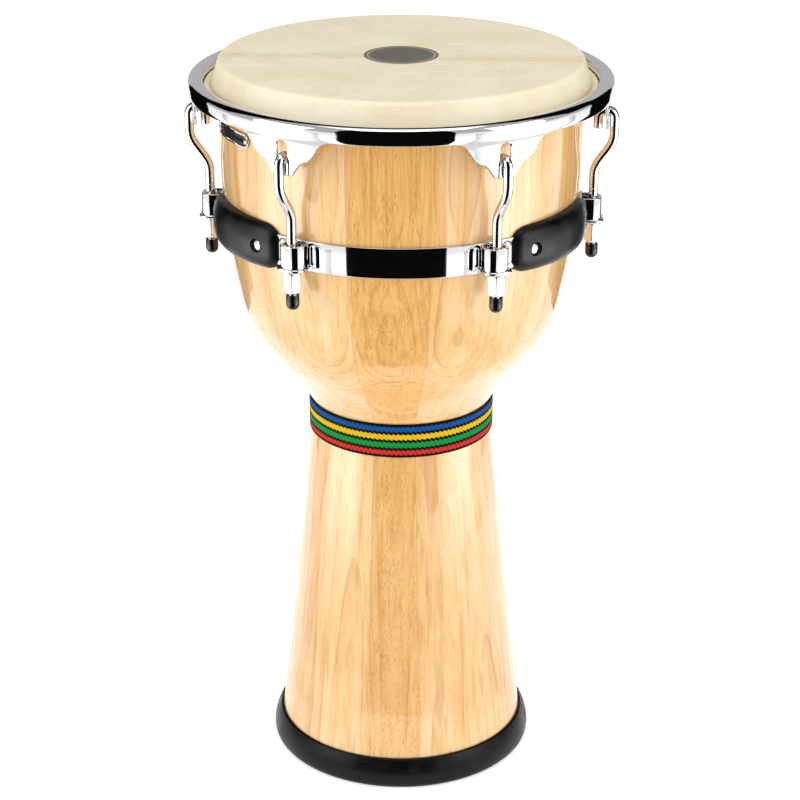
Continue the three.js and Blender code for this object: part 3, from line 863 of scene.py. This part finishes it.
def rod_radius(index, count, point, turn):
    """The rod's radius: round at its ends, threaded at its foot, with a groove above."""
    ends = {0: ROD - 1, 1: ROD - 0.5, count - 1: ROD - 1.1, count - 2: ROD - 0.35}
    if index in ends:
        return ends[index]
    distance, z = point
    if distance > ROD_AXIS + 0.01:
        return ROD
    if z < THREAD_TOP:
        phase = (z / THREAD_PITCH + turn / (2 * pi)) % 1
        fade = min(1, (THREAD_TOP - z) / 2.5)
        return ROD - THREAD_DEPTH * fade * abs(2 * phase - 1)
    return ROD - 0.3 * exp(-(((z - GROOVE) / 0.6) ** 2))


def tuning_hook():
    path = hook_path()
    rings = []
    for i, point in enumerate(path):
        along = path[min(i + 1, len(path) - 1)] - path[max(i - 1, 0)]
        along = along / np.linalg.norm(along)
        out = np.array([along[1], -along[0]])
        ring = []
        for turn in full_turn(32):
            radius = rod_radius(i, len(path), point, turn)
            distance, z = point + out * radius * cos(turn)
            ring.append((radius * sin(turn), -distance, z))
        rings.append(ring)
    return loft(rings)


def thread_cap():
    bore = 4.35
    radius = 5.35
    seat = ROD_END - 0.35
    dome = [(0, CAP_BOTTOM)] + arc((0, CAP_BOTTOM + 5), (radius, 5), -86, 0, 10)
    mouth = [(radius, CAP_TOP - 0.5), (radius - 0.2, CAP_TOP - 0.12), (radius - 0.5, CAP_TOP)]
    inside = [(bore + 0.3, CAP_TOP), (bore, CAP_TOP - 0.4), (bore, seat), (0, seat)]
    return lathe([*dome, *mouth, *inside], 48).ahead(ROD_AXIS)


# ---- rim, flesh hoop and skin

# Both sides of the rim's wall, as (height, radius).
RIM_OUTSIDE = np.array(smooth(
    [
        (560, 172.1), (584, 172.1), (590, 172.15), (594, 172.5), (597.2, 173.6), (600, 175),
        (602.6, 175.8), (605.5, RIM_OUTER),
    ],
    8,
))
RIM_INSIDE = np.array(smooth(
    [(560, 169.4), (584, 169.4), (590, 169.4), (595, 169.6), (599.2, 170.4), (604, 172.4)], 8
))

# The lower edge of a tab, as (distance from its middle, height).
TAB_EDGE = np.array(smooth(
    [
        (0, TAB_BOTTOM), (5.5, TAB_BOTTOM), (8.2, 569), (10.3, 570.9), (13.6, 575.6),
        (17.4, 579.8), (22.3, 582), (26.8, 585.3), (30, 590.6), (33.2, 595.6), (38, 598.4),
        (45, RIM_BOTTOM), (60, RIM_BOTTOM),
    ],
    6,
))


def rim_section(bottom):
    """The rim's closed outline, as (radius, height), where its lip or tab ends at a height."""
    steps = 20
    half = 1.35
    low = bottom + half
    lip = RIM_OUTSIDE[-1, 0]
    shares = [(k / steps) ** 1.25 for k in range(steps + 1)]
    inside = [604 - (604 - low) * share for share in shares]
    outside = [lip - (lip - low) * share for share in shares[::-1]]
    near = value_at(RIM_INSIDE, low)
    far = value_at(RIM_OUTSIDE, low)
    seat = [(RIM_INNER, 606.3), (RIM_INNER + 0.5, 605.75), (165.2, 605.75), (165.7, 606.2)]
    hollow = [(165.7, 608.6), (166.3, 610), (167.8, 610.7), (170.6, 610.2), (172.2, 608)]
    crown = [
        (RIM_OUTER, 605.5), (RIM_OUTER, 607.5), (175.8, 609.4), (175.2, 611.1), (174, 612.5),
        (172.2, 613.3), (169.8, RIM_TOP), (167, 613.5), (164.8, 613), (163.3, 612),
        (RIM_INNER, 610.2),
    ]
    section = [*seat, *smooth(hollow, 3)]
    section += [(value_at(RIM_INSIDE, z), z) for z in inside]
    section += arc(((near + far) / 2, low), ((far - near) / 2, half), 180, 360, 8)[1:-1]
    section += [(value_at(RIM_OUTSIDE, z), z) for z in outside]
    return section + smooth(crown, 3)[1:]


def column_azimuths():
    """Azimuths across one lug's share of the rim: close together over the tab, wider beside it."""
    half_share = 30
    tab = 17
    across_tab = np.linspace(-tab, tab, 141)
    beside = np.linspace(tab, half_share, 14)[1:]
    return [*(-beside[::-1]), *across_tab, *beside[:-1]]


def tension_rim():
    sections = []
    for lug in LUG_AZIMUTHS:
        for off_lug in column_azimuths():
            x = abs(TAB_BULGE * sin(radians(off_lug)))
            turn = radians(lug + off_lug)
            section = rim_section(value_at(TAB_EDGE, x))
            sections.append([polar(radius, turn, z) for radius, z in section])
    rim = loft(sections, joined=True)
    middle = (SLOT_LOW + SLOT_HIGH) / 2
    half = (SLOT_HIGH - SLOT_LOW) / 2
    flare = [  # distance from the axis, and how much wider the slot is there
        (160, 1.2), (168.9, 1.2), (169.3, 0.55), (169.9, 0.12), (170.6, 0),
        (171.1, 0), (171.6, 0.12), (172.1, 0.5), (172.5, 1.2), (182, 1.2),
    ]
    rings = []
    for distance, grown in flare:
        outline = stadium(half + grown, SLOT_HALF + grown, 0, 12, 6)
        rings.append([(across, -distance, middle + along) for along, across in outline])
    slot = loft(rings)
    slots = slot.turned(LUG_AZIMUTHS[0])
    for lug in LUG_AZIMUTHS[1:]:
        slots += slot.turned(lug)
    shape = combined(rim, "DIFFERENCE", slots)
    place("chromed_tension_rim", shape, CHROME, "rim", "chrome", "tension_rim", sharp=50)


def flesh_hoop():
    wire = arc((HOOP_RADIUS, HOOP_HEIGHT), (HOOP_WIRE, HOOP_WIRE), 0, 352.5, 47)
    place("flesh_hoop_wire", lathe(wire[::2]), WIRE, "rim", "steel_wire", "flesh_hoop")


def skin():
    """One skin: the playing head, its collar and the edge tucked round the flesh hoop."""
    top = HEAD_TOP
    head = [(radius, top) for radius in (0, 40, 80, 120, 140, 146.5)]
    shoulder = [
        (146.5, top), (148.6, top - 0.25), (150, top - 1.1), (151.1, top - 2.9), (152.4, 620.5),
        (154, 616), (155.7, 611.4), (157, 608), (157.9, 605.3),
    ]
    tucked = [
        (157.9, 605.3), (158.5, 606.1), (159.6, 606.9), (161, 607), (162.2, 606.4), (162.5, 605.9)
    ]
    under = [
        (162.35, 605.55), (161, 605.25), (160, 604.5), (159.3, 602.9), (159.4, 601),
        (160.4, 599.4), (162.5, 598.95), (164.6, 599.5), (165.7, 600.9), (166, 604.6),
        (167.1, 604.6), (167.1, 599.4), (164.8, 597.9), (160, 597.9), (158, 599.4),
        (157.3, 603.3), (154.6, 611), (150, 624.8), (147.9, top - 1.1), (0, top - 1.1),
    ]
    profile = [*head, *smooth(shoulder, 5)[1:], *smooth(tucked, 3)[1:], *under]
    nodes = ("head_skin", "skin_collar")
    piece = place("goatskin_head", lathe(profile), GOATSKIN, None, "goatskin", *nodes, sharp=60)
    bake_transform(piece)


# ---- handles, bolts and badge

def behind_handle(z):
    """The radius of what lies behind a handle, with a little room."""
    if BAND_LOW - 0.5 < z < BAND_HIGH + 0.5:
        return BAND_OUTER + 0.3
    return value_at(SHELL_RADII, z) + 0.3


def handle():
    """A moulded bar with round ends, whose bowed and crowned face comes down to the shell."""
    straight = HANDLE_HALF_LENGTH - HANDLE_HALF_HEIGHT

    def face(x, z):
        past_line = max(abs(x) - straight, 0)
        off_line = hypot(past_line, z)
        up = min(1, abs(z) / HANDLE_HALF_HEIGHT)
        crown = HANDLE_CROWN * (1 - (1 - up**HANDLE_FULLNESS) ** (1 / HANDLE_FULLNESS))
        from_edge = max(0, HANDLE_HALF_HEIGHT - off_line)
        near_edge = max(0, 1 - from_edge / HANDLE_EDGE)
        towards_end = past_line / max(off_line, 0.001)
        rounding = HANDLE_EDGE * towards_end * (1 - sqrt(1 - near_edge**2))
        reach = HANDLE_FACE - hypot(crown, rounding)
        return HANDLE_BACK_AXIS + sqrt(reach**2 - x**2)

    def back(x, z):
        return sqrt(behind_handle(HANDLE_MIDDLE + z) ** 2 - x**2)

    outline = stadium(HANDLE_HALF_LENGTH, HANDLE_HALF_HEIGHT, 0)
    line = stadium(HANDLE_HALF_LENGTH, HANDLE_HALF_HEIGHT, HANDLE_HALF_HEIGHT)
    shares = []  # how far out from the line the face still stands clear of the shell, by halving
    for (x, z), (x0, z0) in zip(outline, line):
        low, high = 0.3, 1.0
        for _ in range(24):
            share = (low + high) / 2
            px, pz = x0 + (x - x0) * share, z0 + (z - z0) * share
            if face(px, pz) > back(px, pz) + 0.5:
                low = share
            else:
                high = share
        shares.append(low)

    def ring(part, depth):
        points = []
        for (x, z), (x0, z0), share in zip(outline, line, shares):
            px, pz = x0 + (x - x0) * share * part, z0 + (z - z0) * share * part
            points.append((px, -depth(px, pz), HANDLE_MIDDLE + pz))
        return points

    front_parts = [sin(pi / 2 * k / 26) for k in range(27)]
    back_parts = [1 - k / 8 for k in range(9)]
    rings = [ring(part, face) for part in front_parts] + [ring(part, back) for part in back_parts]
    shape = loft(rings)
    around = BOLT_HEAD + 0.7
    recess = lathe(
        [
            (0, BOLT_SEAT - 0.35), (around, BOLT_SEAT - 0.35), (around, 158),
            (around + 0.3, 158.6), (around + 1, 159.3), (around + 1, 175), (0, 175),
        ],
        48,
    ).facing_out(BOLT_HEIGHT)
    for spread in (-BOLT_SPREAD, BOLT_SPREAD):
        shape = combined(shape, "DIFFERENCE", recess.turned(spread))
    for side in (-1, 1):
        shape = combined(shape, "DIFFERENCE", bead(-side, 0.6).turned(side * 30))
    return shape


def handle_bolt():
    dome = [(BOLT_HEAD, BOLT_SEAT + 0.2), (BOLT_HEAD, BOLT_SEAT + 0.8)]
    dome += arc((0, BOLT_SEAT + 0.8), (BOLT_HEAD, 1.4), 8, 90, 9)
    shank = [(0, BOLT_END), (2.6, BOLT_END), (3, BOLT_END + 0.5), (3, BOLT_SEAT)]
    profile = [*shank, (BOLT_HEAD - 0.2, BOLT_SEAT), *dome[:-1], (0, BOLT_SEAT + BOLT_HEAD_HIGH)]
    return lathe(profile, 48).facing_out(BOLT_HEIGHT)


def badge_plate():
    """A plain enamelled plate in a raised bright border, bent to the shell."""
    enamel = BADGE_FACE - ENAMEL_DEPTH
    sections = [
        (0.3, BADGE_BACK), (0, BADGE_BACK + 0.3), (0, BADGE_FACE - 0.35), (0.35, BADGE_FACE),
        (1.3, BADGE_FACE), (1.7, BADGE_FACE - 0.45), (2.4, enamel), (4, enamel),
        (BADGE_HALF_HEIGHT, enamel), (BADGE_HALF_HEIGHT, BADGE_BACK), (4, BADGE_BACK),
    ]
    rings = []
    for inset, radius in sections:
        outline = stadium(BADGE_HALF_LENGTH, BADGE_HALF_HEIGHT, inset, 20, 40)
        rings.append([wrapped(radius, x, BADGE_MIDDLE + z) for x, z in outline])
    shape = loft(rings, joined=True).turned(BADGE_AZIMUTH)
    piece = place("badge_plain", shape, CHROME, "drum", "badge", "badge_plate")

    def enamelled(face, radius):
        return -0.7 < radius - BADGE_FACE < -0.42 and face.normal.xy.length > 0.9

    repaint(piece, ENAMEL, enamelled)


def badge_pin():
    head = BADGE_FACE + 0.2
    shank = [(0, 143), (0.9, 143), (0.9, BADGE_FACE), (1.9, BADGE_FACE - 0.1), (1.9, head)]
    profile = [*shank, *arc((0, head), (1.9, 0.85), 12, 80, 6), (0, BADGE_FACE + 1.05)]
    return lathe(profile, 24).facing_out(BADGE_MIDDLE)


# ---- assembly

shell()
base_ring()
waist_band()
lug_band()
tension_rim()
flesh_hoop()
skin()

NUT = hexagon_nut(NUT_BOTTOM, NUT_TOP, 13, 4.35, (1.3, 0.7))
LUG_PIECES = {  # shape, material, body, slot
    "lug_bracket": (lug_bracket(), CHROME, "drum", "chrome"),
    "lug_washer": (washer(), CHROME, "drum", "chrome"),
    "tuning_nut": (NUT.ahead(ROD_AXIS), CHROME, "nut_{}", "chrome"),
    "tuning_hook": (tuning_hook(), CHROME, "hook_{}", "chrome"),
    "thread_cap": (thread_cap(), CAP_RUBBER, "hook_{}", "cap_rubber"),
}
for node, (shape, material, body, slot) in LUG_PIECES.items():
    for number, azimuth in enumerate(LUG_AZIMUTHS, 1):
        piece = shape.turned(azimuth)
        one = f"{node}_{number}"
        place("fine_" + one, piece, material, body.format(number), slot, one)

HANDLE = handle()
BOLT = handle_bolt()
INNER_NUT = hexagon_nut(131.5, 136.5, 10, 3.35, (0.5, 0.5)).facing_out(BOLT_HEIGHT)
for side, (node, azimuth) in enumerate(HANDLE_AZIMUTHS.items()):
    place(f"fine_{node}", HANDLE.turned(azimuth), RUBBER, "drum", "rubber", node, sharp=50)
    for number, spread in enumerate((-BOLT_SPREAD, BOLT_SPREAD), 2 * side + 1):
        bolt = BOLT.turned(azimuth + spread)
        nut = INNER_NUT.turned(azimuth + spread)
        place(f"fine_bolt_{number}", bolt, CHROME, "drum", "chrome", f"handle_bolt_{number}")
        place(f"fine_inner_nut_{number}", nut, ZINC, "drum", "plain_steel", f"handle_nut_{number}")

badge_plate()
for number, spread in enumerate((-BADGE_PIN_SPREAD, BADGE_PIN_SPREAD), 1):
    pin = badge_pin().turned(BADGE_AZIMUTH + spread)
    place(f"fine_badge_pin_{number}", pin, CHROME, "drum", "chrome", f"badge_pin_{number}")


# ---- studio

def staged_sheet(name, points, faces, material):
    mesh = bpy.data.meshes.new(name)
    mesh.from_pydata(points, [], faces)
    mesh.materials.append(material)
    sheet = put(name, mesh)
    return sheet


def studio_floor():
    half = 9.0
    corners = [(-half, -half, 0), (half, -half, 0), (half, half, 0), (-half, half, 0)]
    paper = Graph(
        "floor_paper", Base_Color=(0.95, 0.95, 0.95, 1), Roughness=0.9, Specular_IOR_Level=0.0,
        Emission_Strength=0.52,
    )
    staged_sheet("studio_floor", corners, [(0, 1, 2, 3)], paper.material)


GLOW_FROM = 450  # a card's glow starts this far from the drum's axis
GLOW_FULL = 1150


def card(name, middle, half_angle, rows, glow=0.0):
    """A sheet round the drum through rows of (distance, height), seen only in reflections."""
    steps = 12
    row = steps + 1
    turns = [radians(middle + half_angle * (2 * i / steps - 1)) for i in range(row)]
    points = [polar(distance, turn, height) for distance, height in rows for turn in turns]
    starts = [k * row + i for k in range(len(rows) - 1) for i in range(steps)]
    faces = [(i, i + 1, i + row + 1, i + row) for i in starts]
    shade = 0.9 if glow else 0.003
    colour = (shade, shade, shade, 1)
    cloth = Graph(name + "_cloth", Roughness=1.0, Specular_IOR_Level=0.0, Base_Color=colour)
    if glow:
        x, y, _ = cloth.place()
        azimuth = cloth.math("ARCTAN2", x, y * -1) * (180 / pi)
        off_middle = cloth.math("ABSOLUTE", azimuth - middle)
        away = cloth.math("SQRT", x * x + y * y)
        inwards = cloth.step(off_middle, half_angle, half_angle * 0.3)
        fade = inwards * cloth.step(away, GLOW_FROM, GLOW_FULL)
        cloth.finish(Emission_Strength=fade * glow)
    sheet = staged_sheet(name, points, faces, cloth.material)
    for rays in ("camera", "diffuse", "shadow", "transmission"):
        setattr(sheet, "visible_" + rays, False)


AIM_HEIGHT = 0.4  # of the point that the lights aim at, in metres


def softbox(name, azimuth, elevation, distance, width, tall, power):
    """A soft light that aims at the drum."""
    light = bpy.data.lights.new(name, "AREA")
    light.shape = "RECTANGLE"
    light.size = width
    light.size_y = tall
    light.energy = power
    lamp = put(name, light)
    rise = radians(elevation)
    height = AIM_HEIGHT + distance * sin(rise)
    lamp.location = polar(distance * cos(rise), radians(azimuth), height)
    aim = Vector((0, 0, AIM_HEIGHT)) - lamp.location
    lamp.rotation_euler = aim.to_track_quat("-Z", "Y").to_euler()


def white_world(strength):
    """White to the camera, and as bright as the strength says to everything else."""
    world = bpy.data.worlds.new("studio")
    world.use_nodes = True
    tree = world.node_tree
    background = tree.nodes["Background"].inputs
    background["Color"].default_value = (1, 1, 1, 1)
    rays = tree.nodes.new("ShaderNodeLightPath")
    choose = tree.nodes.new("ShaderNodeMix")
    choose.inputs[2].default_value = strength
    choose.inputs[3].default_value = 1.0
    tree.links.new(rays.outputs["Is Camera Ray"], choose.inputs[0])
    tree.links.new(choose.outputs[0], background["Strength"])
    bpy.context.scene.world = world


def camera():
    """Stands back, up and a little to one side, and looks 22 degrees down."""
    swing = radians(2.3)
    pitch = radians(22.241)
    side, back, height = 0.00099, 1.83471, 1.07411
    lens = bpy.data.cameras.new("camera")
    lens.sensor_width = 36
    lens.lens = 102.44
    lens.shift_y = -0.00245
    eye = put("camera", lens)
    x = -side * cos(swing) + back * sin(swing)
    y = -side * sin(swing) - back * cos(swing)
    eye.location = (x, y, height)
    eye.rotation_euler = (pi / 2 - pitch, 0, swing)
    bpy.context.scene.camera = eye


studio_floor()
card("dark_card_front", -0.7, 30, [(0.3, 0.004), (2.4, 0.004), (2.4, 4.0)])
card("dark_card_back", 180, 62, [(3.2, 2.4), (3.2, 6.0)])
for side, sign in (("right", 1), ("left", -1)):
    card(f"dark_card_{side}", 133 * sign, 15, [(0.9, 0.004), (3.4, 0.004), (3.4, 1.8)])
    card(f"dark_card_high_{side}", 124 * sign, 26, [(3.3, 1.3), (3.3, 4.8)])
    card(f"bright_card_{side}", 72 * sign, 32, [(0.2, 0.006), (2.6, 0.006)], 3.4)
white_world(0.52)
softbox("softbox_left", -62, 16, 2.2, 1.2, 1.6, 15)
softbox("softbox_right", 64, 16, 2.2, 1.2, 1.6, 15)
softbox("softbox_top", 10, 78, 2.3, 1.8, 1.8, 16)
camera()
bpy.context.scene.view_settings.view_transform = "Standard"
